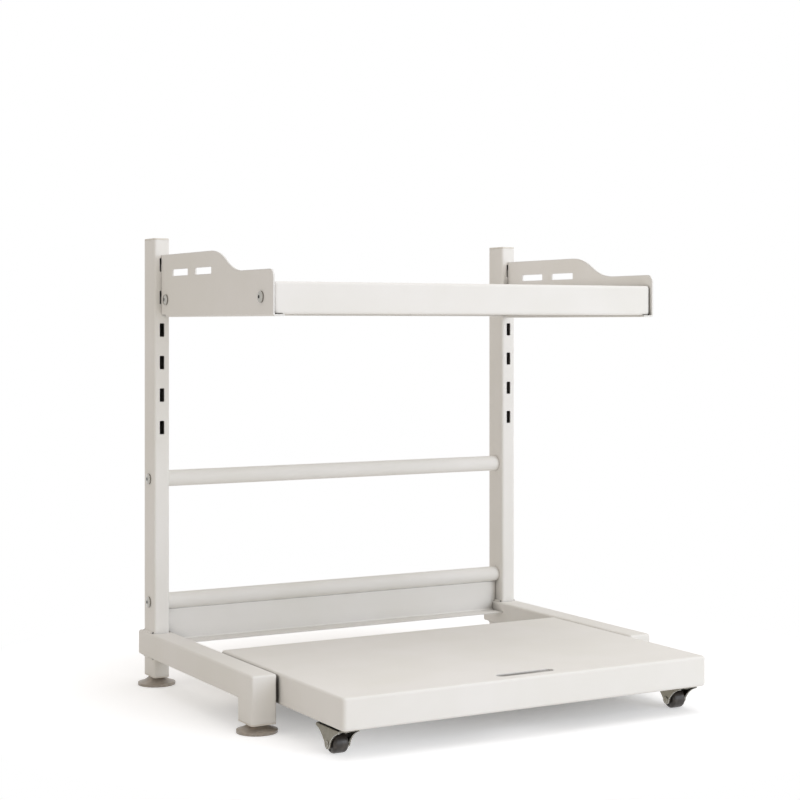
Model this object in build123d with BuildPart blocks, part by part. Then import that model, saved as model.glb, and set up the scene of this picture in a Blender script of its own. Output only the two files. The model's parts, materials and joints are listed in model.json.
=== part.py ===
from build123d import *
import os

# Two-tier kitchen storage rack of powder-coated steel: two side frames joined by round bars,
# a shelf hooked into slots in the posts, and a pull-out tray on casters.
# Millimetres, +Z up, +Y to the back. The origin is on the floor, in the middle of the footprint.

# Overall layout
frame_spacing = 507.0  # from the slot column of one post to that of the other
rail_length = 334.0
tray_overhang = 148.0  # how far the tray stands out in front of the rails, as photographed

# Base: rail with a front leg and a rear leg
tube_wall = 1.5
tube_corner = 3.0
least_corner = 0.5  # smallest rounding inside a tube
rail_width = 30.0
rail_height = 30.0
rail_top_z = 65.0
rail_end_round = 2.5
front_leg_depth = 38.0
leg_end_z = 12.5
plug_flange = 2.0
plug_depth = 14.0
plug_wall = 1.6
plug_clearance = 0.15

# Posts and their hook slots
post_width = 20.0
post_depth = 35.0
post_setback = 3.0  # from the rear end of the rail to the rear of the post
post_top_z = 548.5
post_cap_height = 2.5
post_cap_round = 1.0
slot_width = 6.0
slot_height = 16.5
slot_corner = 1.0
slot_pitch = 40.0
slot_count = 6
top_slot_drop = 30.5  # from the top of the post to the middle of the top slot

# Cup feet
foot_diameter = 46.0
foot_rim = 3.0
foot_neck_diameter = 18.0
foot_hollow = 1.2  # how far the foot's flank curves in
foot_stem_diameter = 10.0
foot_stem_height = 9.0
foot_ring = 6.0  # width of the flat ring that the foot rests on
cup_depth = 1.8
stem_clearance = 0.05

# Round bars between the posts
bar_diameter = 20.0
bar_wall = 1.5
upper_bar_z = 254.0
lower_bar_z = 102.0
insert_length = 16.0
insert_clearance = 0.05

# Screws: domed heads with a hexagon socket
screw_diameter = 6.0
screw_clearance = 0.2
screw_head_diameter = 13.0
screw_head_height = 3.2
screw_dome = 1.4  # height of the domed part of the head
screw_socket = 4.0  # across flats
screw_socket_depth = 1.8
thread_clearance = 0.05
bar_screw_bite = 11.0  # into the insert

# Apron under the lower bar, which also stops the tray
apron_sheet = 1.2
apron_bottom_z = 52.0
apron_flange = 26.0
apron_bend = 2.0
apron_gap = 0.3  # to the posts, rails and bar
apron_tab_depth = 13.0
apron_screw_diameter = 4.0
apron_screw_head_diameter = 8.0
apron_screw_head_height = 2.2
apron_screw_dome = 1.0
apron_screw_socket = 2.5
apron_screw_bite = 5.0  # past the wall of the post

# Folded pans of the shelf and the tray
sheet = 1.5
pan_corner = 5.0
pan_bend = 3.0
lip_relief = 2.0  # slit between the side lips and the end lips, so that all can be folded in

# Upper shelf
shelf_depth = 316.0
shelf_recess = 38.5  # from the brackets' high top edge down to the deck
shelf_skirt = 35.5
shelf_lip = 14.0
shelf_gap = 1.0  # from the rear skirt to the front of the posts

# Side brackets of the shelf
bracket_sheet = 2.0
bracket_gap = 0.3  # from the rear edge to the front of the post
bracket_lead = 3.0  # how far the brackets stand out in front of the shelf
bracket_rise = 12.0  # from the middle of the top slot up to the high top edge
bracket_drop = 25.0  # from the high top edge down to the low one
bracket_step_start = 153.0  # from the rear edge to the start of the step
bracket_step_length = 86.0
bracket_nose_round = 9.0
bracket_heel_round = 5.0
bracket_flange = 14.0
bracket_flange_start = 14.0
bracket_bend = 3.0
hand_slot_length = 48.0
hand_slot_height = 8.0
hand_slot_corner = 1.2
hand_slot_drop = 22.5  # from the high top edge to the middle of the slots
hand_slot_first = 59.5  # from the rear edge to the middle of the first slot
hand_slot_pitch = 70.0
hand_slot_count = 2
hook_neck = 9.0
hook_drop = 6.0
hook_thickness = 4.5
hook_gap = 0.4
hook_seat = 0.05
hook_round = 1.5
hook_count = 2
shelf_screw_drop = 16.5  # from the deck to the screws
shelf_screw_rear = 15.5  # from the rear edge of the bracket
shelf_screw_front = 30.0  # from the front edge of the bracket
nut_diameter = 11.0
nut_length = 7.0

# Folded ribs under both decks
rib_sheet = 1.2
rib_width = 34.0
rib_foot = 14.0
rib_drop = 16.0
rib_taper = 4.0
rib_bend = 2.0
rib_end_gap = 3.0

# Pull-out tray
tray_side_gap = 3.5  # between the tray and each rail
tray_depth = 308.0
tray_skirt = 34.5
tray_side_lip = 30.0
tray_end_lip = 14.0
finger_slot_length = 73.0
finger_slot_width = 12.0
finger_slot_setback = 21.0

# Nylon glides on the sides of the tray, which keep it straight between the rails
glide_diameter = 12.0
glide_stem_diameter = 6.0
glide_snap_diameter = 8.0
glide_snap = 1.2
glide_gap = 0.2  # to the inner face of the rail
glide_round = 0.8
glide_setback = 9.0  # from the tray's rear edge to the first glide
glide_pitch = 50.0
glide_count = 2

# Casters
wheel_diameter = 21.0
wheel_width = 18.0
wheel_round = 4.0
wheel_recess = 1.0
wheel_rim = 3.0
hub_diameter = 9.0
hub_side_gap = 0.3
axle_diameter = 5.0
axle_clearance = 0.05
axle_head_diameter = 8.0
axle_head = 1.0
fork_sheet = 1.8
fork_width = 25.0
fork_length = 51.0
fork_tip_radius = 5.5
fork_shoulder = 3.0
fork_waist = 2.5  # how far the front and rear edges of a cheek curve in
fork_bend = 2.4
caster_gap = 2.0  # between the tray's lips and the forks, kept by collars on the rivets
front_caster_setback = 40.0  # from the tray's front edge to the axle
rear_caster_setback = 66.0  # from the tray's rear edge to the axle
caster_inset = 14.5  # from the tray's side to the middle of the wheel
rivet_diameter = 4.0
rivet_clearance = 0.05
rivet_head_diameter = 7.0
rivet_head = 1.2
rivet_collar_diameter = 8.0
rivet_inset = 5.0  # from the end of the fork's top plate
rivet_taper = 30.0  # slope of the sides of rivet heads, in degrees

# Places that follow from the sizes above
rear_overhang = max(plug_flange, (foot_diameter - post_depth) / 2 - post_setback)
total_depth = tray_overhang + rail_length + rear_overhang
tray_front_y = -total_depth / 2
rail_front_y = tray_front_y + tray_overhang
rail_rear_y = rail_front_y + rail_length
rail_bottom_z = rail_top_z - rail_height
rail_mid_z = rail_top_z - rail_height / 2
front_leg_y = rail_front_y + front_leg_depth / 2
post_y = rail_rear_y - post_setback - post_depth / 2
post_front_y = post_y - post_depth / 2
foot_top_z = leg_end_z - plug_flange
top_slot_z = post_top_z - top_slot_drop
slot_heights = [top_slot_z - slot_pitch * step for step in range(slot_count)]
bar_length = frame_spacing - post_width
bar_heights = (upper_bar_z, lower_bar_z)
apron_top_z = lower_bar_z - bar_diameter / 2 - apron_gap
apron_ear_z = rail_top_z + apron_gap
apron_front_y = post_y - apron_sheet / 2
apron_tab_x = bar_length / 2 - apron_gap - apron_sheet / 2
apron_screw_y = post_y + apron_tab_depth / 2
apron_screw_z = (apron_ear_z + apron_top_z) / 2
bracket_high_z = top_slot_z + bracket_rise
bracket_low_z = bracket_high_z - bracket_drop
hand_slot_z = bracket_high_z - hand_slot_drop
shelf_width = frame_spacing - bracket_sheet
shelf_front_y = post_front_y - shelf_gap - shelf_depth
shelf_y = shelf_front_y + shelf_depth / 2
shelf_top_z = bracket_high_z - shelf_recess
shelf_bottom_z = shelf_top_z - shelf_skirt
shelf_screw_z = shelf_top_z - shelf_screw_drop
bracket_rear_y = post_front_y - bracket_gap
bracket_front_y = shelf_front_y - bracket_lead
bracket_bottom_z = shelf_bottom_z - bracket_sheet
bracket_outer_x = (frame_spacing + bracket_sheet) / 2
shelf_screw_places = (bracket_rear_y - shelf_screw_rear, bracket_front_y + shelf_screw_front)
tray_width = frame_spacing - rail_width - 2 * tray_side_gap
tray_y = tray_front_y + tray_depth / 2
tray_top_z = rail_top_z
tray_bottom_z = tray_top_z - tray_skirt
glide_z = tray_top_z - tray_skirt / 2
glide_rear_y = tray_front_y + tray_depth - glide_setback
glide_places = [(glide_rear_y - glide_pitch * step, glide_z) for step in range(glide_count)]
glide_head = tray_side_gap - glide_gap
axle_z = wheel_diameter / 2
fork_top_z = tray_bottom_z - caster_gap
fork_plate_z = fork_top_z - fork_sheet
caster_x = tray_width / 2 - caster_inset
front_axle_y = tray_front_y + front_caster_setback
rear_axle_y = tray_front_y + tray_depth - rear_caster_setback
rivet_reach = fork_length / 2 - rivet_inset
sides = (("left", -1), ("right", 1))
ends = (("front", front_axle_y), ("rear", rear_axle_y))

os.makedirs("parts", exist_ok=True)


def save(piece, name):
    """Label a finished piece and write it to its own file."""
    piece.part.label = name
    export_step(piece.part, f"parts/{name}.step")


def tube_section(width, depth, shrink=0.0):
    """Rounded outline of a rectangular tube, or of what fits inside it."""
    RectangleRounded(width - 2 * shrink, depth - 2 * shrink, max(tube_corner - shrink, least_corner))


def folded_pan(width, depth, middle_y, top_z, skirt, side_lip, end_lip):
    """Deck, four skirts and inward lips with slit corners, folded from one sheet and open below."""
    with BuildSketch(Plane.XY.offset(top_z)) as outline:
        with Locations((0, middle_y)):
            RectangleRounded(width, depth, pan_corner)
    extrude(outline.sketch, amount=-skirt)
    fillet(faces(Select.LAST).filter_by(Axis.Z).edges(), pan_bend)
    with BuildSketch(Plane.XY.offset(top_z - sheet)) as hollow:
        with Locations((0, middle_y)):
            RectangleRounded(width - 2 * sheet, depth - 2 * sheet, pan_corner - sheet)
    extrude(hollow.sketch, amount=2 * sheet - skirt, mode=Mode.SUBTRACT)
    fillet(faces(Select.LAST).filter_by(Axis.Z).edges(), pan_bend - sheet)
    with BuildSketch(Plane.XY.offset(top_z - skirt)) as opening:
        with Locations((0, middle_y)):
            Rectangle(width - 2 * side_lip, depth - 2 * end_lip)
        with Locations((side_lip - width / 2, middle_y), (width / 2 - side_lip - lip_relief, middle_y)):
            Rectangle(lip_relief, depth - 2 * pan_bend, align=(Align.MIN, Align.CENTER))
    extrude(opening.sketch, amount=sheet, mode=Mode.SUBTRACT)


def folded_rib(length, middle_y, deck_z):
    """Hat-shaped rib whose feet lie under a deck."""
    half = rib_width / 2
    with BuildSketch(Plane.YZ) as hat:
        with BuildLine():
            FilletPolyline(
                (middle_y - half - rib_foot, deck_z),
                (middle_y - half, deck_z),
                (middle_y - half + rib_taper, deck_z - rib_drop),
                (middle_y + half - rib_taper, deck_z - rib_drop),
                (middle_y + half, deck_z),
                (middle_y + half + rib_foot, deck_z),
                radius=rib_bend,
            )
            offset(amount=rib_sheet, side=Side.RIGHT)
        make_face()
    extrude(hat.sketch, amount=length / 2, both=True)


def socket_screw(seat, outward, shank, diameter, head_diameter, head_height, dome, socket, socket_depth):
    """Screw along X: its domed head stands on the seat and points outward (1 or -1)."""
    with BuildSketch(Plane(seat, x_dir=(0, 1, 0), z_dir=(0, 0, -outward))) as half_screw:
        with BuildLine():
            Polyline(
                (0, head_height),
                (0, -shank),
                (diameter / 2, -shank),
                (diameter / 2, 0),
                (head_diameter / 2, 0),
                (head_diameter / 2, head_height - dome),
            )
            ThreePointArc(
                (head_diameter / 2, head_height - dome),
                (head_diameter / 4, head_height - dome / 4),
                (0, head_height),
            )
        make_face()
    revolve(half_screw.sketch, axis=Axis(seat, (outward, 0, 0)))
    crown = Vector(seat) + Vector(outward * head_height, 0, 0)
    with BuildSketch(Plane(crown, x_dir=(0, 1, 0), z_dir=(outward, 0, 0))) as hexagon:
        RegularPolygon(socket / 2, 6, major_radius=False)
    extrude(hexagon.sketch, amount=-socket_depth, mode=Mode.SUBTRACT)


# Bases: rail, front leg and rear leg are welded into one piece
for side, sign in sides:
    base_x = sign * frame_spacing / 2
    with BuildPart() as base:
        with BuildSketch(Plane.XZ.offset(-rail_rear_y)):
            with Locations((base_x, rail_mid_z)):
                tube_section(rail_width, rail_height)
        extrude(amount=rail_length)
        fillet(base.faces().sort_by(Axis.Y)[0].edges(), rail_end_round)
        with BuildSketch(Plane.XY.offset(leg_end_z)):
            with Locations((base_x, front_leg_y)):
                tube_section(rail_width, front_leg_depth)
            with Locations((base_x, post_y)):
                tube_section(post_width, post_depth)
        extrude(amount=rail_mid_z - leg_end_z)
        with BuildSketch(Plane.XZ.offset(-rail_rear_y)):
            with Locations((base_x, rail_mid_z)):
                tube_section(rail_width, rail_height, tube_wall)
        extrude(amount=rail_length - tube_wall, mode=Mode.SUBTRACT)
        with BuildSketch(Plane.XY.offset(leg_end_z)):
            with Locations((base_x, front_leg_y)):
                tube_section(rail_width, front_leg_depth, tube_wall)
            with Locations((base_x, post_y)):
                tube_section(post_width, post_depth, tube_wall)
        extrude(amount=rail_bottom_z - leg_end_z, mode=Mode.SUBTRACT)
    save(base, f"{side}_base")

# Plugs in the rear ends of the rails
for side, sign in sides:
    with BuildPart() as rail_plug:
        with BuildSketch(Plane.XZ.offset(-rail_rear_y)):
            with Locations((sign * frame_spacing / 2, rail_mid_z)):
                tube_section(rail_width, rail_height)
        extrude(amount=-plug_flange)
        fillet(rail_plug.faces().sort_by(Axis.Y)[-1].edges(), plug_flange / 2)
        with BuildSketch(Plane.XZ.offset(-rail_rear_y)):
            with Locations((sign * frame_spacing / 2, rail_mid_z)):
                tube_section(rail_width, rail_height, tube_wall + plug_clearance)
        extrude(amount=plug_depth)
        with BuildSketch(Plane.XZ.offset(-rail_rear_y)):
            with Locations((sign * frame_spacing / 2, rail_mid_z)):
                tube_section(rail_width, rail_height, tube_wall + plug_clearance + plug_wall)
        extrude(amount=plug_depth, mode=Mode.SUBTRACT)
    save(rail_plug, f"{side}_rail_plug")

# Leg plugs, and the cup feet whose stems are pressed into them
legs = (
    ("front", front_leg_y, rail_width, front_leg_depth),
    ("rear", post_y, post_width, post_depth),
)
for side, sign in sides:
    leg_x = sign * frame_spacing / 2
    for end, leg_y, leg_width, leg_depth in legs:
        with BuildPart() as leg_plug:
            with BuildSketch(Plane.XY.offset(leg_end_z)):
                with Locations((leg_x, leg_y)):
                    tube_section(leg_width, leg_depth)
            extrude(amount=-plug_flange)
            with BuildSketch(Plane.XY.offset(leg_end_z)):
                with Locations((leg_x, leg_y)):
                    tube_section(leg_width, leg_depth, tube_wall + plug_clearance)
            extrude(amount=plug_depth)
            with BuildSketch(Plane.XY.offset(foot_top_z)):
                with Locations((leg_x, leg_y)):
                    Circle(foot_stem_diameter / 2 + stem_clearance)
            extrude(amount=foot_stem_height + stem_clearance, mode=Mode.SUBTRACT)
        save(leg_plug, f"{side}_{end}_leg_plug")

        foot_radius = foot_diameter / 2
        cup_radius = foot_radius - foot_ring
        cup_sphere = (cup_radius**2 + cup_depth**2) / (2 * cup_depth)
        with BuildPart() as foot:
            with BuildSketch(Plane((leg_x, leg_y, 0), x_dir=(1, 0, 0), z_dir=(0, -1, 0))):
                with BuildLine():
                    flank = SagittaArc(
                        (foot_neck_diameter / 2, foot_top_z),
                        (foot_radius, foot_rim),
                        -foot_hollow,
                    )
                    Polyline(
                        flank @ 1,
                        (foot_radius, 0),
                        (0, 0),
                        (0, foot_top_z + foot_stem_height),
                        (foot_stem_diameter / 2, foot_top_z + foot_stem_height),
                        (foot_stem_diameter / 2, foot_top_z),
                        flank @ 0,
                    )
                make_face()
            revolve(axis=Axis((leg_x, leg_y, 0), (0, 0, 1)))
            with Locations((leg_x, leg_y, cup_depth - cup_sphere)):
                Sphere(cup_sphere, mode=Mode.SUBTRACT)
        save(foot, f"{side}_{end}_foot")

# Posts with their hook slots, and the caps on top
for side, sign in sides:
    post_x = sign * frame_spacing / 2
    with BuildPart() as post:
        with BuildSketch(Plane.XY.offset(rail_top_z)):
            with Locations((post_x, post_y)):
                tube_section(post_width, post_depth)
        extrude(amount=post_top_z - rail_top_z)
        with BuildSketch(Plane.XY.offset(rail_top_z)):
            with Locations((post_x, post_y)):
                tube_section(post_width, post_depth, tube_wall)
        extrude(amount=post_top_z - rail_top_z, mode=Mode.SUBTRACT)
        with BuildSketch(Plane.XZ.offset(-post_front_y)):
            with Locations(*[(post_x, height) for height in slot_heights]):
                RectangleRounded(slot_width, slot_height, slot_corner)
        extrude(amount=-2 * tube_wall, mode=Mode.SUBTRACT)
        with BuildSketch(Plane.YZ.offset(post_x)):
            with Locations(*[(post_y, height) for height in bar_heights]):
                Circle(screw_diameter / 2 + screw_clearance)
        extrude(amount=post_width, both=True, mode=Mode.SUBTRACT)
        with BuildSketch(Plane.YZ.offset(post_x)):
            with Locations((apron_screw_y, apron_screw_z)):
                Circle(apron_screw_diameter / 2 + thread_clearance)
        extrude(amount=-sign * post_width, mode=Mode.SUBTRACT)
    save(post, f"{side}_post")

    with BuildPart() as post_cap:
        with BuildSketch(Plane.XY.offset(post_top_z)):
            with Locations((post_x, post_y)):
                tube_section(post_width, post_depth)
        extrude(amount=post_cap_height)
        fillet(post_cap.faces().sort_by(Axis.Z)[-1].edges(), post_cap_round)
        with BuildSketch(Plane.XY.offset(post_top_z)):
            with Locations((post_x, post_y)):
                tube_section(post_width, post_depth, tube_wall + plug_clearance)
        extrude(amount=-plug_depth)
        with BuildSketch(Plane.XY.offset(post_top_z)):
            with Locations((post_x, post_y)):
                tube_section(post_width, post_depth, tube_wall + plug_clearance + plug_wall)
        extrude(amount=-plug_depth, mode=Mode.SUBTRACT)
    save(post_cap, f"{side}_post_cap")

# Round bars between the posts
for name, bar_z in (("upper", upper_bar_z), ("lower", lower_bar_z)):
    with BuildPart() as bar:
        with BuildSketch(Plane.YZ):
            with Locations((post_y, bar_z)):
                Circle(bar_diameter / 2)
                Circle(bar_diameter / 2 - bar_wall, mode=Mode.SUBTRACT)
        extrude(amount=bar_length / 2, both=True)
    save(bar, f"{name}_crossbar")

# Threaded inserts in the ends of the bars
with BuildPart() as inserts:
    for side, sign in sides:
        with BuildSketch(Plane.YZ.offset(sign * bar_length / 2)):
            with Locations(*[(post_y, height) for height in bar_heights]):
                Circle(bar_diameter / 2 - bar_wall - insert_clearance)
                Circle(screw_diameter / 2 + thread_clearance, mode=Mode.SUBTRACT)
        extrude(amount=-sign * insert_length)
save(inserts, "crossbar_inserts")

# Screws through the posts into the bars
with BuildPart() as bar_screws:
    for side, sign in sides:
        for height in bar_heights:
            socket_screw(
                (sign * (frame_spacing + post_width) / 2, post_y, height),
                sign,
                post_width + bar_screw_bite,
                screw_diameter,
                screw_head_diameter,
                screw_head_height,
                screw_dome,
                screw_socket,
                screw_socket_depth,
            )
save(bar_screws, "crossbar_screws")

# Apron: a strip with a forward flange at the bottom and a tab at each end
with BuildPart() as apron:
    with BuildSketch(Plane.YZ):
        with BuildLine():
            FilletPolyline(
                (apron_front_y, apron_top_z),
                (apron_front_y, apron_bottom_z + apron_sheet),
                (apron_front_y - apron_flange, apron_bottom_z + apron_sheet),
                radius=apron_bend,
            )
            offset(amount=apron_sheet, side=Side.LEFT)
        make_face()
    extrude(amount=(frame_spacing - rail_width) / 2 - apron_gap, both=True)
    with BuildSketch(Plane.XZ.offset(-apron_front_y)):
        with Locations((0, apron_ear_z)):
            Rectangle(
                bar_length - 2 * apron_gap,
                apron_top_z - apron_ear_z,
                align=(Align.CENTER, Align.MIN),
            )
    extrude(amount=-apron_sheet)
    with BuildSketch(Plane.XY.offset(apron_ear_z)):
        with Locations((-apron_tab_x, apron_front_y), (apron_tab_x, apron_front_y)):
            Rectangle(apron_sheet, apron_tab_depth, align=(Align.CENTER, Align.MIN))
    extrude(amount=apron_top_z - apron_ear_z)
    with BuildSketch(Plane.YZ):
        with Locations((apron_screw_y, apron_screw_z)):
            Circle(apron_screw_diameter / 2 + screw_clearance)
    extrude(amount=bar_length / 2, both=True, mode=Mode.SUBTRACT)
save(apron, "rear_apron")

with BuildPart() as apron_screws:
    for side, sign in sides:
        socket_screw(
            (sign * (apron_tab_x - apron_sheet / 2), apron_screw_y, apron_screw_z),
            -sign,
            apron_sheet + apron_gap + tube_wall + apron_screw_bite,
            apron_screw_diameter,
            apron_screw_head_diameter,
            apron_screw_head_height,
            apron_screw_dome,
            apron_screw_socket,
            apron_screw_head_height / 2,
        )
save(apron_screws, "apron_screws")

# Upper shelf and its rib
with BuildPart() as shelf:
    folded_pan(shelf_width, shelf_depth, shelf_y, shelf_top_z, shelf_skirt, shelf_lip, shelf_lip)
    with BuildSketch(Plane.YZ):
        with Locations(*[(place, shelf_screw_z) for place in shelf_screw_places]):
            Circle(screw_diameter / 2 + screw_clearance)
    extrude(amount=shelf_width / 2, both=True, mode=Mode.SUBTRACT)
save(shelf, "upper_shelf")

with BuildPart() as shelf_rib:
    folded_rib(shelf_width - 2 * sheet - 2 * rib_end_gap, shelf_y, shelf_top_z - sheet)
save(shelf_rib, "shelf_stiffener")

# Left bracket: plate with a stepped top edge, two hand slots, hooks at the rear and a bottom flange
with BuildPart() as left_bracket:
    with BuildSketch(Plane.YZ.offset(-bracket_outer_x)) as plate:
        step_y = bracket_rear_y - bracket_step_start
        step_end_y = step_y - bracket_step_length
        step_middle = ((step_y + step_end_y) / 2, (bracket_high_z + bracket_low_z) / 2)
        plate_bottom_z = bracket_bottom_z + bracket_bend
        with BuildLine():
            rear = Line((bracket_rear_y, plate_bottom_z), (bracket_rear_y, bracket_high_z))
            high = Line(rear @ 1, (step_y, bracket_high_z))
            crest = TangentArc(high @ 1, step_middle, tangent=high % 1)
            dip = TangentArc(crest @ 1, (step_end_y, bracket_low_z), tangent=crest % 1)
            low = Line(dip @ 1, (bracket_front_y, bracket_low_z))
            front = Line(low @ 1, (bracket_front_y, plate_bottom_z))
            Line(front @ 1, rear @ 0)
        make_face()
        corners = plate.vertices()
        fillet(corners.sort_by_distance((bracket_front_y, bracket_low_z))[0], bracket_nose_round)
        fillet(corners.sort_by_distance((bracket_rear_y, bracket_high_z))[0], bracket_heel_round)
        fillet(corners.sort_by_distance((bracket_rear_y, plate_bottom_z))[0], bracket_heel_round)
        hook_y = post_front_y + tube_wall + hook_gap
        for height in slot_heights[:hook_count]:
            hook_z = height - slot_height / 2 + hook_seat
            with Locations((bracket_rear_y - bracket_sheet, hook_z)):
                Rectangle(
                    hook_y + hook_thickness - bracket_rear_y + bracket_sheet,
                    hook_neck,
                    align=(Align.MIN, Align.MIN),
                )
            with Locations((hook_y, hook_z - hook_drop)):
                Rectangle(hook_thickness, hook_drop + hook_neck, align=(Align.MIN, Align.MIN))
            tips = plate.vertices()
            fillet(tips.sort_by_distance((hook_y, hook_z - hook_drop))[0], hook_round)
            fillet(tips.sort_by_distance((hook_y + hook_thickness, hook_z - hook_drop))[0], hook_round)
        for slot in range(hand_slot_count):
            with Locations((bracket_rear_y - hand_slot_first - slot * hand_slot_pitch, hand_slot_z)):
                RectangleRounded(hand_slot_length, hand_slot_height, hand_slot_corner, mode=Mode.SUBTRACT)
        with Locations(*[(place, shelf_screw_z) for place in shelf_screw_places]):
            Circle(screw_diameter / 2 + screw_clearance, mode=Mode.SUBTRACT)
    extrude(amount=bracket_sheet)
    flange_rear_y = bracket_rear_y - bracket_flange_start
    with BuildSketch(Plane.XZ.offset(-flange_rear_y)):
        with BuildLine():
            FilletPolyline(
                (-bracket_outer_x, plate_bottom_z + bracket_bend),
                (-bracket_outer_x, bracket_bottom_z),
                (-bracket_outer_x + bracket_flange, bracket_bottom_z),
                radius=bracket_bend,
            )
            offset(amount=bracket_sheet, side=Side.LEFT)
        make_face()
    extrude(amount=flange_rear_y - bracket_front_y)
save(left_bracket, "left_bracket")

with BuildPart() as right_bracket:
    add(left_bracket.part)
    mirror(about=Plane.YZ, mode=Mode.REPLACE)
save(right_bracket, "right_bracket")

# Screws through the brackets into nuts behind the shelf's skirts
with BuildPart() as shelf_screws:
    for side, sign in sides:
        for place in shelf_screw_places:
            socket_screw(
                (sign * bracket_outer_x, place, shelf_screw_z),
                sign,
                bracket_sheet + sheet + nut_length,
                screw_diameter,
                screw_head_diameter,
                screw_head_height,
                screw_dome,
                screw_socket,
                screw_socket_depth,
            )
save(shelf_screws, "shelf_screws")

with BuildPart() as shelf_nuts:
    for side, sign in sides:
        with BuildSketch(Plane.YZ.offset(sign * (shelf_width / 2 - sheet))):
            with Locations(*[(place, shelf_screw_z) for place in shelf_screw_places]):
                RegularPolygon(nut_diameter / 2, 6, major_radius=False)
                Circle(screw_diameter / 2 + thread_clearance, mode=Mode.SUBTRACT)
        extrude(amount=-sign * nut_length)
save(shelf_nuts, "shelf_nuts")

# Pull-out tray with its finger slot, and its rib
rivet_places = [
    (sign * caster_x, axle_y + reach)
    for _, sign in sides
    for _, axle_y in ends
    for reach in (-rivet_reach, rivet_reach)
]
with BuildPart() as tray:
    folded_pan(tray_width, tray_depth, tray_y, tray_top_z, tray_skirt, tray_side_lip, tray_end_lip)
    with BuildSketch(Plane.XY.offset(tray_top_z)):
        with Locations((0, tray_front_y + finger_slot_setback)):
            SlotOverall(finger_slot_length, finger_slot_width)
    extrude(amount=-tray_skirt / 2, mode=Mode.SUBTRACT)
    with BuildSketch(Plane.XY.offset(tray_bottom_z)):
        with Locations(*rivet_places):
            Circle(rivet_diameter / 2 + rivet_clearance)
    extrude(amount=sheet, mode=Mode.SUBTRACT)
    with BuildSketch(Plane.YZ):
        with Locations(*glide_places):
            Circle(glide_stem_diameter / 2)
    extrude(amount=tray_width / 2, both=True, mode=Mode.SUBTRACT)
save(tray, "tray")

with BuildPart() as tray_rib:
    folded_rib(tray_width - 2 * sheet - 2 * rib_end_gap, tray_y, tray_top_z - sheet)
save(tray_rib, "tray_stiffener")

# Glides: a head outside the skirt, a stem through it and a snap inside
with BuildPart() as glides:
    for side, sign in sides:
        with BuildSketch(Plane.YZ.offset(sign * tray_width / 2)):
            with Locations(*glide_places):
                Circle(glide_diameter / 2)
        extrude(amount=sign * glide_head)
        fillet(faces(Select.LAST).sort_by(Axis((0, 0, 0), (sign, 0, 0)))[-glide_count:].edges(), glide_round)
        with BuildSketch(Plane.YZ.offset(sign * tray_width / 2)):
            with Locations(*glide_places):
                Circle(glide_stem_diameter / 2)
        extrude(amount=-sign * sheet)
        with BuildSketch(Plane.YZ.offset(sign * (tray_width / 2 - sheet))):
            with Locations(*glide_places):
                Circle(glide_snap_diameter / 2)
        extrude(amount=-sign * glide_snap)
save(glides, "tray_glides")

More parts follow.
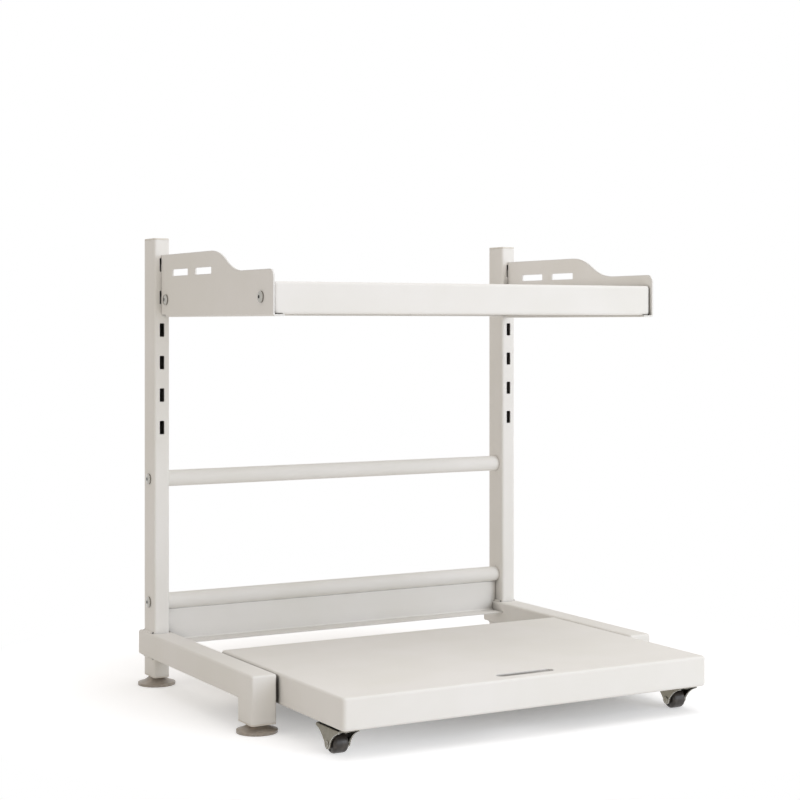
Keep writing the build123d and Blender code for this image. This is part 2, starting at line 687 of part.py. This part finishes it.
# Casters: a folded fork, an axle and a roller at each corner of the tray
for end, wheel_y in ends:
    for side, sign in sides:
        wheel_x = sign * caster_x
        axle_line = Axis((wheel_x, wheel_y, axle_z), (1, 0, 0))
        with BuildPart() as fork:
            with BuildSketch(Plane.XZ.offset(-wheel_y)):
                with BuildLine():
                    FilletPolyline(
                        (wheel_x - fork_width / 2, axle_z - fork_tip_radius),
                        (wheel_x - fork_width / 2, fork_top_z),
                        (wheel_x + fork_width / 2, fork_top_z),
                        (wheel_x + fork_width / 2, axle_z - fork_tip_radius),
                        radius=fork_bend,
                    )
                    offset(amount=fork_sheet, side=Side.RIGHT)
                make_face()
            extrude(amount=fork_length / 2, both=True)
            with BuildSketch(Plane.YZ.offset(wheel_x)):
                half = fork_length / 2
                shoulder_z = fork_top_z - fork_shoulder
                with BuildLine():
                    tip = ThreePointArc(
                        (wheel_y - fork_tip_radius, axle_z),
                        (wheel_y, axle_z - fork_tip_radius),
                        (wheel_y + fork_tip_radius, axle_z),
                    )
                    rear_edge = SagittaArc(tip @ 1, (wheel_y + half, shoulder_z), fork_waist)
                    Polyline(
                        rear_edge @ 1,
                        (wheel_y + half, fork_top_z),
                        (wheel_y - half, fork_top_z),
                        (wheel_y - half, shoulder_z),
                    )
                    SagittaArc((wheel_y - half, shoulder_z), tip @ 0, fork_waist)
                make_face()
            extrude(amount=fork_width, both=True, mode=Mode.INTERSECT)
            with BuildSketch(Plane.YZ.offset(wheel_x)):
                with Locations((wheel_y, axle_z)):
                    Circle(axle_diameter / 2 + axle_clearance)
            extrude(amount=fork_width, both=True, mode=Mode.SUBTRACT)
            with BuildSketch(Plane.XY.offset(fork_top_z)):
                with Locations((wheel_x, wheel_y - rivet_reach), (wheel_x, wheel_y + rivet_reach)):
                    Circle(rivet_diameter / 2 + rivet_clearance)
            extrude(amount=-fork_shoulder, mode=Mode.SUBTRACT)
        save(fork, f"{side}_{end}_caster_fork")

        with BuildPart() as axle:
            with BuildSketch(Plane.YZ.offset(wheel_x)):
                with Locations((wheel_y, axle_z)):
                    Circle(axle_diameter / 2)
            extrude(amount=fork_width / 2, both=True)
            for face_sign in (-1, 1):
                with BuildSketch(Plane.YZ.offset(wheel_x + face_sign * fork_width / 2)):
                    with Locations((wheel_y, axle_z)):
                        Circle(axle_head_diameter / 2)
                extrude(amount=face_sign * axle_head, taper=rivet_taper)
        save(axle, f"{side}_{end}_caster_axle")

        hub_length = fork_width - 2 * fork_sheet - 2 * hub_side_gap
        bore_radius = axle_diameter / 2 + axle_clearance
        web_height = (wheel_diameter - hub_diameter) / 2 - wheel_rim
        across = (Align.CENTER, Align.MIN)
        with BuildPart() as wheel:
            wheel_plane = Plane((wheel_x, wheel_y, axle_z), x_dir=(1, 0, 0), z_dir=(0, -1, 0))
            with BuildSketch(wheel_plane) as half_wheel:
                with Locations((0, bore_radius)):
                    Rectangle(wheel_width, wheel_diameter / 2 - bore_radius, align=across)
                fillet(half_wheel.vertices().group_by(Axis.Y)[-1], wheel_round)
                with Locations((0, hub_diameter / 2)):
                    Rectangle(wheel_width, web_height, align=across, mode=Mode.SUBTRACT)
                    Rectangle(wheel_width - 2 * wheel_recess, web_height, align=across)
                with Locations((0, bore_radius)):
                    Rectangle(hub_length, hub_diameter / 2 - bore_radius, align=across)
            revolve(axis=axle_line)
        save(wheel, f"{side}_{end}_caster_wheel")

# Rivets that hold the forks to the tray's lips
with BuildPart() as caster_rivets:
    with BuildSketch(Plane.XY.offset(fork_plate_z)):
        with Locations(*rivet_places):
            Circle(rivet_diameter / 2)
    extrude(amount=fork_sheet + caster_gap + sheet)
    with BuildSketch(Plane.XY.offset(fork_top_z)):
        with Locations(*rivet_places):
            Circle(rivet_collar_diameter / 2)
    extrude(amount=caster_gap)
    for seat_z, direction in ((fork_plate_z, -1), (tray_bottom_z + sheet, 1)):
        with BuildSketch(Plane.XY.offset(seat_z)):
            with Locations(*rivet_places):
                Circle(rivet_head_diameter / 2)
        extrude(amount=direction * rivet_head, taper=rivet_taper)
save(caster_rivets, "caster_rivets")
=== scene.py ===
import json
import math

import bpy
from mathutils import Matrix, Vector


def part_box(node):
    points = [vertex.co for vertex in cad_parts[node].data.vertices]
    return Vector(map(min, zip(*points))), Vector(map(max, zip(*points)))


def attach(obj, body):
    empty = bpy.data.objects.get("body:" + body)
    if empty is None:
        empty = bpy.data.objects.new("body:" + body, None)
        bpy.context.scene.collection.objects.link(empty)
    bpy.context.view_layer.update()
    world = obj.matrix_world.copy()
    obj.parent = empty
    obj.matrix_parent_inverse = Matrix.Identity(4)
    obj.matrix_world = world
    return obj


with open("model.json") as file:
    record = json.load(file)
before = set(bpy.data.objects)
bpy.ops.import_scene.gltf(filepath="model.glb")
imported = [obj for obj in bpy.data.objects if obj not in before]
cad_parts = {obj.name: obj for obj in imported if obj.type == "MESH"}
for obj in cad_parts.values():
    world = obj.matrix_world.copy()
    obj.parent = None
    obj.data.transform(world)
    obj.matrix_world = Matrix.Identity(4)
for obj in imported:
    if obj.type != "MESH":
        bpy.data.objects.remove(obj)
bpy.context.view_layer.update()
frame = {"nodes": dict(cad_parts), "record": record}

nodes = frame["nodes"]
scene = bpy.context.scene
MM = 0.001
quarter_turn = math.radians(90)
white = (1.0, 1.0, 1.0, 1.0)

# Most of a noise's values lie between these two.
noise_low, noise_high = 0.35, 0.65


# Helpers for materials

def linear(code):
    """The linear colour of an sRGB hex value."""
    parts = [int(code[i:i + 2], 16) / 255 for i in (1, 3, 5)]
    return [p / 12.92 if p <= 0.04045 else ((p + 0.055) / 1.055) ** 2.4 for p in parts] + [1.0]


def put(tree, kind, inputs=None, **settings):
    """Adds a node with its settings, and gives each input its value or its link."""
    made = tree.nodes.new(kind)
    for name, value in settings.items():
        setattr(made, name, value)
    for name, value in (inputs or {}).items():
        if isinstance(value, bpy.types.NodeSocket):
            tree.links.new(value, made.inputs[name])
        else:
            made.inputs[name].default_value = value
    return made


def begin(name):
    """A new material: its tree, its shader and its Object coordinates."""
    material = bpy.data.materials.new(name)
    material.use_nodes = True
    tree = material.node_tree
    shader = tree.nodes["Principled BSDF"]
    return material, tree, shader, put(tree, "ShaderNodeTexCoord").outputs["Object"]


def connect(tree, shader, colour, roughness, normal):
    """Links a material's colour, roughness and shading normal to its shader."""
    for socket, output in (("Base Color", colour), ("Roughness", roughness), ("Normal", normal)):
        tree.links.new(output, shader.inputs[socket])


def per(size_mm):
    """Noise scale whose grains are about that many millimetres across."""
    return 1000.0 / size_mm


def edges(tree, radius):
    """Shading normal with rounded edges, and a mask that is 1 along those edges."""
    rounded = put(tree, "ShaderNodeBevel", {"Radius": radius}, samples=4).outputs["Normal"]
    facing = put(tree, "ShaderNodeNewGeometry").outputs["Normal"]
    turn = put(tree, "ShaderNodeVectorMath", {0: rounded, 1: facing}, operation="DOT_PRODUCT")
    rim = put(tree, "ShaderNodeMapRange", {"Value": turn.outputs["Value"],
                                           "From Min": 0.995, "From Max": 0.80})
    return rounded, rim.outputs["Result"]


# Materials

# Polyester powder coat, baked on folded sheet and tube: a warm white with a soft, nearly matt gloss.
# The eye sees a faint orange peel and a slow drift of tone. Its edges are glossier and painted lighter,
# a painted highlight in patches, and its inner corners and the insides of the folded pans are painted
# darker, a painted shade.
def powder_coat(name, body, shade, edge_highlight, shade_and_dust):
    edge_radius, shade_reach, edge_polish = 1.3 * MM, 32 * MM, -0.26
    material, tree, shader, place = begin(name)
    drift = put(tree, "ShaderNodeTexNoise", {"Vector": place, "Scale": per(110), "Detail": 3.0})
    tone = put(tree, "ShaderNodeMapRange", {"Value": drift.outputs["Fac"],
                                            "From Min": noise_low, "From Max": noise_high})
    coat = put(tree, "ShaderNodeMix", {"Factor": tone.outputs["Result"],
                                       "A": linear(body), "B": linear(shade)}, data_type="RGBA")
    # Orange peel is about 1 mm across; it is drawn at 2.4 mm so that it shows in the render.
    peel = put(tree, "ShaderNodeTexNoise", {"Vector": place, "Scale": per(2.4),
                                            "Detail": 2.0, "Roughness": 0.45})
    rounded, rim = edges(tree, edge_radius)
    patchy = put(tree, "ShaderNodeTexNoise", {"Vector": place, "Scale": per(9), "Detail": 4.0})
    edge_patches = put(tree, "ShaderNodeMapRange", {"Value": patchy.outputs["Fac"], "From Min": noise_low,
                                               "From Max": noise_high, "To Min": 0.6, "To Max": 1.0})
    edge_highlight_and_gloss = put(tree, "ShaderNodeMath", {0: rim, 1: edge_patches.outputs["Result"]}, operation="MULTIPLY")
    # Painted highlight: the coat is painted lighter towards white along the edges, in patches.
    highlighted_coat = put(tree, "ShaderNodeMix", {"Factor": edge_highlight_and_gloss.outputs["Value"], "A": coat.outputs["Result"],
                                           "B": linear(edge_highlight)}, data_type="RGBA")
    # Painted shade: the colour is darkened towards a dark tone where ambient occlusion finds corners and
    # the insides of the folded pans.
    nook = put(tree, "ShaderNodeAmbientOcclusion", {"Distance": shade_reach}, samples=8)
    shade_and_dust_amount = put(tree, "ShaderNodeMapRange", {"Value": nook.outputs["AO"], "From Min": 0.60,
                                            "From Max": 0.12, "To Max": 0.85})
    colour = put(tree, "ShaderNodeMix", {"Factor": shade_and_dust_amount.outputs["Result"],
                                         "A": highlighted_coat.outputs["Result"], "B": linear(shade_and_dust)},
                 data_type="RGBA")
    gloss = put(tree, "ShaderNodeMapRange", {"Value": peel.outputs["Fac"], "To Min": 0.56, "To Max": 0.70})
    satin = put(tree, "ShaderNodeMath", {0: edge_highlight_and_gloss.outputs["Value"], 1: edge_polish,
                                         2: gloss.outputs["Result"]}, operation="MULTIPLY_ADD")
    bump = put(tree, "ShaderNodeBump", {"Height": peel.outputs["Fac"], "Strength": 0.10,
                                        "Distance": 0.25 * MM, "Normal": rounded})
    connect(tree, shader, colour.outputs["Result"], satin.outputs["Value"], bump.outputs["Normal"])
    shader.inputs["IOR"].default_value = 1.42
    return material


# Zinc plate on pressed steel: a bright metal with rolling streaks and a cloudy, uneven gloss.
# Its cut edges are painted lighter, a painted highlight, and its recesses and the foot of a screw head
# are painted darker, a painted shade.
def zinc_plated_steel(name, body, shade, edge_highlight, edge_radius, low, high, recess_shade):
    recess_shade_reach = 4 * MM
    material, tree, shader, place = begin(name)
    cloud = put(tree, "ShaderNodeTexNoise", {"Vector": place, "Scale": per(7), "Detail": 4.0})
    # Rolling streaks are about 0.2 mm wide; they are drawn 1 mm wide so that they show.
    drawn = put(tree, "ShaderNodeMapping", {"Vector": place, "Scale": (1.0, 0.12, 1.0)})
    streak = put(tree, "ShaderNodeTexNoise", {"Vector": drawn.outputs["Vector"], "Scale": per(1.0),
                                              "Detail": 3.0})
    tone = put(tree, "ShaderNodeMix", {"Factor": cloud.outputs["Fac"],
                                       "A": linear(body), "B": linear(shade)}, data_type="RGBA")
    mixed = put(tree, "ShaderNodeMath", {0: cloud.outputs["Fac"], 1: streak.outputs["Fac"]},
                operation="MULTIPLY")
    gloss = put(tree, "ShaderNodeMapRange", {"Value": mixed.outputs["Value"], "From Min": 0.12,
                                             "From Max": 0.40, "To Min": low, "To Max": high})
    # Painted shade: the colour is darkened towards near-black in recesses and at the foot of a screw head,
    # from ambient occlusion.
    nook = put(tree, "ShaderNodeAmbientOcclusion", {"Distance": recess_shade_reach}, samples=8)
    shade_and_dust_amount = put(tree, "ShaderNodeMapRange", {"Value": nook.outputs["AO"], "From Min": 0.75,
                                            "From Max": 0.35, "To Max": 0.9})
    recess_shaded = put(tree, "ShaderNodeMix", {"Factor": shade_and_dust_amount.outputs["Result"], "A": tone.outputs["Result"],
                                       "B": linear(recess_shade)}, data_type="RGBA")
    # Painted highlight: the edges are painted lighter towards near-white.
    rounded, rim = edges(tree, edge_radius)
    colour = put(tree, "ShaderNodeMix", {"Factor": rim, "A": recess_shaded.outputs["Result"], "B": linear(edge_highlight)},
                 data_type="RGBA")
    bump = put(tree, "ShaderNodeBump", {"Height": streak.outputs["Fac"], "Strength": 0.08,
                                        "Distance": 0.1 * MM, "Normal": rounded})
    connect(tree, shader, colour.outputs["Result"], gloss.outputs["Result"], bump.outputs["Normal"])
    shader.inputs["Metallic"].default_value = 1.0
    return material


# Polypropylene or nylon, injection moulded against a spark-eroded tool: an even, fine grain,
# a low sheen and, where it rubs, smoother and paler patches.
def moulded_plastic(name, body, rubbed, low, high):
    material, tree, shader, place = begin(name)
    # Tool grain is about 0.15 mm; it is drawn at 0.8 mm so that it shows.
    grain = put(tree, "ShaderNodeTexNoise", {"Vector": place, "Scale": per(0.8), "Detail": 2.0})
    patches = put(tree, "ShaderNodeTexNoise", {"Vector": place, "Scale": per(6), "Detail": 5.0})
    rub = put(tree, "ShaderNodeMapRange", {"Value": patches.outputs["Fac"],
                                           "From Min": 0.50, "From Max": 0.72})
    tone = put(tree, "ShaderNodeMix", {"Factor": rub.outputs["Result"],
                                       "A": linear(body), "B": linear(rubbed)}, data_type="RGBA")
    gloss = put(tree, "ShaderNodeMapRange", {"Value": rub.outputs["Result"], "To Min": high, "To Max": low})
    rounded = put(tree, "ShaderNodeBevel", {"Radius": 0.5 * MM}, samples=4)
    bump = put(tree, "ShaderNodeBump", {"Height": grain.outputs["Fac"], "Strength": 0.15,
                                        "Distance": 0.1 * MM, "Normal": rounded.outputs["Normal"]})
    connect(tree, shader, tone.outputs["Result"], gloss.outputs["Result"], bump.outputs["Normal"])
    return material


# Thermoplastic rubber, moulded: a smoky grey-brown that lets a little light in at its thin rim,
# with a dry bloom of dust on the flank.
def moulded_rubber(name, body, bloom):
    material, tree, shader, place = begin(name)
    shade_and_dust = put(tree, "ShaderNodeTexNoise", {"Vector": place, "Scale": per(5), "Detail": 5.0})
    shade_and_dust_amount = put(tree, "ShaderNodeMapRange", {"Value": shade_and_dust.outputs["Fac"],
                                            "From Min": 0.45, "From Max": 0.75})
    tone = put(tree, "ShaderNodeMix", {"Factor": shade_and_dust_amount.outputs["Result"],
                                       "A": linear(body), "B": linear(bloom)}, data_type="RGBA")
    gloss = put(tree, "ShaderNodeMapRange", {"Value": shade_and_dust_amount.outputs["Result"],
                                             "To Min": 0.34, "To Max": 0.62})
    bump = put(tree, "ShaderNodeBump", {"Height": shade_and_dust.outputs["Fac"], "Strength": 0.12,
                                        "Distance": 0.2 * MM})
    connect(tree, shader, tone.outputs["Result"], gloss.outputs["Result"], bump.outputs["Normal"])
    shader.inputs["Subsurface Weight"].default_value = 0.25
    shader.inputs["Subsurface Radius"].default_value = (4 * MM, 3 * MM, 2 * MM)
    shader.inputs["Subsurface Scale"].default_value = 1.0
    return material


# Finishes of the pieces. In each coat the white is its painted edge highlight and the last colour its
# painted corner shade;
# a weld bead is like the coat around it, with a lighter painted shade in its corners.
cream_coat = powder_coat("powder_coat_cream", "#F2F0ED", "#EEECE7", "#FFFFFF", "#4A443D")
weld_coat = powder_coat("powder_coat_cream_weld", "#F2F0ED", "#EEECE7", "#FFFFFF", "#BDB7AD")
# For zinc, the near-white colour is the painted edge highlight and the near-black one the painted recess
# shade.
bright_zinc = zinc_plated_steel("zinc_plated_pressed_steel", "#8D887B", "#746E61", "#FBFAF8", 0.9 * MM,
                                0.24, 0.44, "#2E2A26")
screw_steel = zinc_plated_steel("zinc_plated_screw_steel", "#BDBAB4", "#9D9A93", "#F4F3F1", 0.3 * MM,
                                0.16, 0.32, "#2E2A26")
charcoal_roller = moulded_plastic("moulded_nylon_charcoal", "#3B3632", "#4F4943", 0.30, 0.46)
cream_plug = moulded_plastic("moulded_polypropylene_cream", "#E2DDD4", "#E8E4DC", 0.40, 0.55)
natural_glide = moulded_plastic("moulded_nylon_natural", "#E4E0D4", "#EDEAE1", 0.35, 0.50)
smoky_foot = moulded_rubber("moulded_rubber_smoky", "#A69D93", "#BBB3A9")

finish_of = {
    "powder_coat": cream_coat,
    "plated_steel": bright_zinc,
    "roller_plastic": charcoal_roller,
    "foot_rubber": smoky_foot,
    "plug_plastic": cream_plug,
    "glide_nylon": natural_glide,
}
for entry in frame["record"]["subparts"]:
    mesh = nodes[entry["node"]].data
    mesh.materials.clear()
    mesh.materials.append(finish_of[entry["material_slot"]])
for screws in ("crossbar_screws", "shelf_screws", "apron_screws"):
    nodes[screws].data.materials[0] = screw_steel


# Weld beads where the posts stand on the rails and where the rear legs meet them from below

def weld_bead(name, body, middle, level, width, depth, corner, radius):
    """A bead of weld around the foot of a rectangular tube, coated over with the rest."""
    bead_sides, run_steps, corner_steps = 12, 10, 5
    ripple_size, ripple_height = 3.5 * MM, 0.9 * MM
    reach_x, reach_y = width / 2 - corner, depth / 2 - corner
    bpy.ops.object.select_all(action="DESELECT")
    bpy.ops.mesh.primitive_circle_add(
        vertices=bead_sides, radius=radius, rotation=(quarter_turn, 0, 0),
        location=(middle[0] + width / 2, middle[1] - reach_y, level))
    bead = bpy.context.object
    bead.name = name
    bpy.ops.object.transform_apply(location=True, rotation=True, scale=True)
    bpy.ops.object.mode_set(mode="EDIT")
    bpy.ops.mesh.select_all(action="SELECT")
    runs = (((0, 2 * reach_y, 0), (reach_x, reach_y)), ((-2 * reach_x, 0, 0), (-reach_x, reach_y)),
            ((0, -2 * reach_y, 0), (-reach_x, -reach_y)), ((2 * reach_x, 0, 0), (reach_x, -reach_y)))
    for run, pivot in runs:
        for _ in range(run_steps):
            bpy.ops.mesh.extrude_region_move(TRANSFORM_OT_translate={"value": Vector(run) / run_steps})
        bpy.ops.mesh.spin(steps=corner_steps, angle=quarter_turn, axis=(0, 0, 1),
                          center=(middle[0] + pivot[0], middle[1] + pivot[1], level))
    bpy.ops.mesh.select_all(action="SELECT")
    bpy.ops.mesh.remove_doubles(threshold=0.02 * MM)
    bpy.ops.mesh.normals_make_consistent(inside=False)
    bpy.ops.object.mode_set(mode="OBJECT")
    ripple = bpy.data.textures.new(name, "CLOUDS")
    ripple.noise_scale = ripple_size
    swell = bead.modifiers.new("ripple", "DISPLACE")
    swell.texture, swell.strength = ripple, ripple_height
    bpy.ops.object.modifier_apply(modifier="ripple")
    bpy.ops.object.shade_smooth()
    bead.data.materials.append(weld_coat)
    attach(bead, body)
    return bead


def moved_copy(piece, name, body, step):
    """Makes another piece of the same make, with its own mesh, a step away."""
    other = piece.copy()
    other.data = piece.data.copy()
    other.name = name
    other.data.transform(Matrix.Translation(step))
    scene.collection.objects.link(other)
    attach(other, body)


rail_height = 30 * MM
bead_corner, bead_radius = 3.0 * MM, 2.0 * MM
post_low, post_high = (Vector(v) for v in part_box("left_post"))
post_middle = (post_low + post_high) / 2
across = Vector((-2 * post_middle.x, 0, 0))
down = Vector((0, 0, -rail_height))
left_bead = weld_bead("left_post_weld", "frame", post_middle, post_low.z, post_high.x - post_low.x,
                      post_high.y - post_low.y, bead_corner, bead_radius)
moved_copy(left_bead, "right_post_weld", "frame", across)
moved_copy(left_bead, "left_leg_weld", "frame", down)
moved_copy(left_bead, "right_leg_weld", "frame", across + down)


# Floor: matt and pale. To the camera it turns to white paper further out, so that the shadow under
# the object stays and has no hard end, and metal mirrors it as white.
floor_size, floor_drop = 24.0, 0.3 * MM
shadow_middle, shadow_full, shadow_gone = (0.05, 0.10, 0), 0.14, 0.60
floor_colour, lifted_floor = linear("#F4F3F1"), (1.9, 1.92, 1.98, 1.0)

bpy.ops.object.select_all(action="DESELECT")
bpy.ops.mesh.primitive_plane_add(size=floor_size, location=(0, 0, -floor_drop))
floor = bpy.context.object
floor.name = "studio_floor"
floor_paper, tree, shader, place = begin("studio_floor")
tree.nodes.remove(shader)
rays = put(tree, "ShaderNodeLightPath")
away = put(tree, "ShaderNodeVectorMath", {0: place, 1: shadow_middle}, operation="DISTANCE")
fade = put(tree, "ShaderNodeMapRange", {"Value": away.outputs["Value"],
                                        "From Min": shadow_full, "From Max": shadow_gone})
seen = put(tree, "ShaderNodeMath", {0: fade.outputs["Result"], 1: rays.outputs["Is Camera Ray"]},
           operation="MULTIPLY")
tint = put(tree, "ShaderNodeMix", {"Factor": seen.outputs["Value"], "A": floor_colour,
                                   "B": lifted_floor}, data_type="RGBA")
matt = put(tree, "ShaderNodeBsdfDiffuse", {"Color": tint.outputs["Result"]})
share = put(tree, "ShaderNodeMath", {0: seen.outputs["Value"], 1: rays.outputs["Is Glossy Ray"]},
            operation="MAXIMUM")
paper = put(tree, "ShaderNodeEmission", {"Color": white, "Strength": 1.0})
ground = put(tree, "ShaderNodeMixShader", {0: share.outputs["Value"], 1: matt.outputs["BSDF"],
                                           2: paper.outputs["Emission"]})
tree.links.new(ground.outputs["Shader"], tree.nodes["Material Output"].inputs["Surface"])
floor.data.materials.append(floor_paper)


# World: a warm fill on the object, and plain white to the camera and in reflections
fill_colour, fill_strength = linear("#FFF8F0"), 0.56

world = bpy.data.worlds.new("studio")
scene.world = world
world.use_nodes = True
sky_tree = world.node_tree
sky_tree.nodes.clear()
rays = put(sky_tree, "ShaderNodeLightPath")
looked_at = put(sky_tree, "ShaderNodeMath", {0: rays.outputs["Is Camera Ray"],
                                             1: rays.outputs["Is Glossy Ray"]}, operation="MAXIMUM")
looked_through = put(sky_tree, "ShaderNodeMath", {0: looked_at.outputs["Value"],
                                                  1: rays.outputs["Is Transmission Ray"]},
                     operation="MAXIMUM")
fill = put(sky_tree, "ShaderNodeBackground", {"Color": fill_colour, "Strength": fill_strength})
backdrop = put(sky_tree, "ShaderNodeBackground", {"Color": white, "Strength": 1.0})
sky = put(sky_tree, "ShaderNodeMixShader", {0: looked_through.outputs["Value"],
                                            1: fill.outputs["Background"],
                                            2: backdrop.outputs["Background"]})
put(sky_tree, "ShaderNodeOutputWorld", {"Surface": sky.outputs["Shader"]})


# Lamps

def soft_box(name, place, aim, size, watts, colour):
    """A square studio lamp that faces the aim point."""
    bpy.ops.object.select_all(action="DESELECT")
    bpy.ops.object.light_add(type="AREA", location=place)
    lamp = bpy.context.object
    lamp.name = name
    lamp.data.shape = "SQUARE"
    lamp.data.size = size
    lamp.data.energy = watts
    lamp.data.color = linear(colour)[:3]
    lamp.rotation_euler = (Vector(aim) - Vector(place)).to_track_quat("-Z", "Y").to_euler()


soft_box("key_lamp", place=(1.45, -2.75, 1.0), aim=(0, 0, 0.12), size=1.7, watts=34, colour="#E8F2FF")
soft_box("top_lamp", place=(0.4, -0.6, 3.2), aim=(0, 0, 0.1), size=2.4, watts=30, colour="#FBFCFF")


# Camera: level, at the place that was fitted to the photograph's edges
camera_place = (-1.0637, -1.82515, 0.4455)
camera_turn = (quarter_turn, 0, math.radians(-29.49))

bpy.ops.object.camera_add(location=camera_place, rotation=camera_turn)
camera = bpy.context.object
camera.data.sensor_width = 36.0
camera.data.lens = 79.17
camera.data.shift_y = -0.0951
camera.data.clip_start = 0.05
camera.data.clip_end = 60.0
scene.camera = camera
scene.view_settings.view_transform = "Standard"
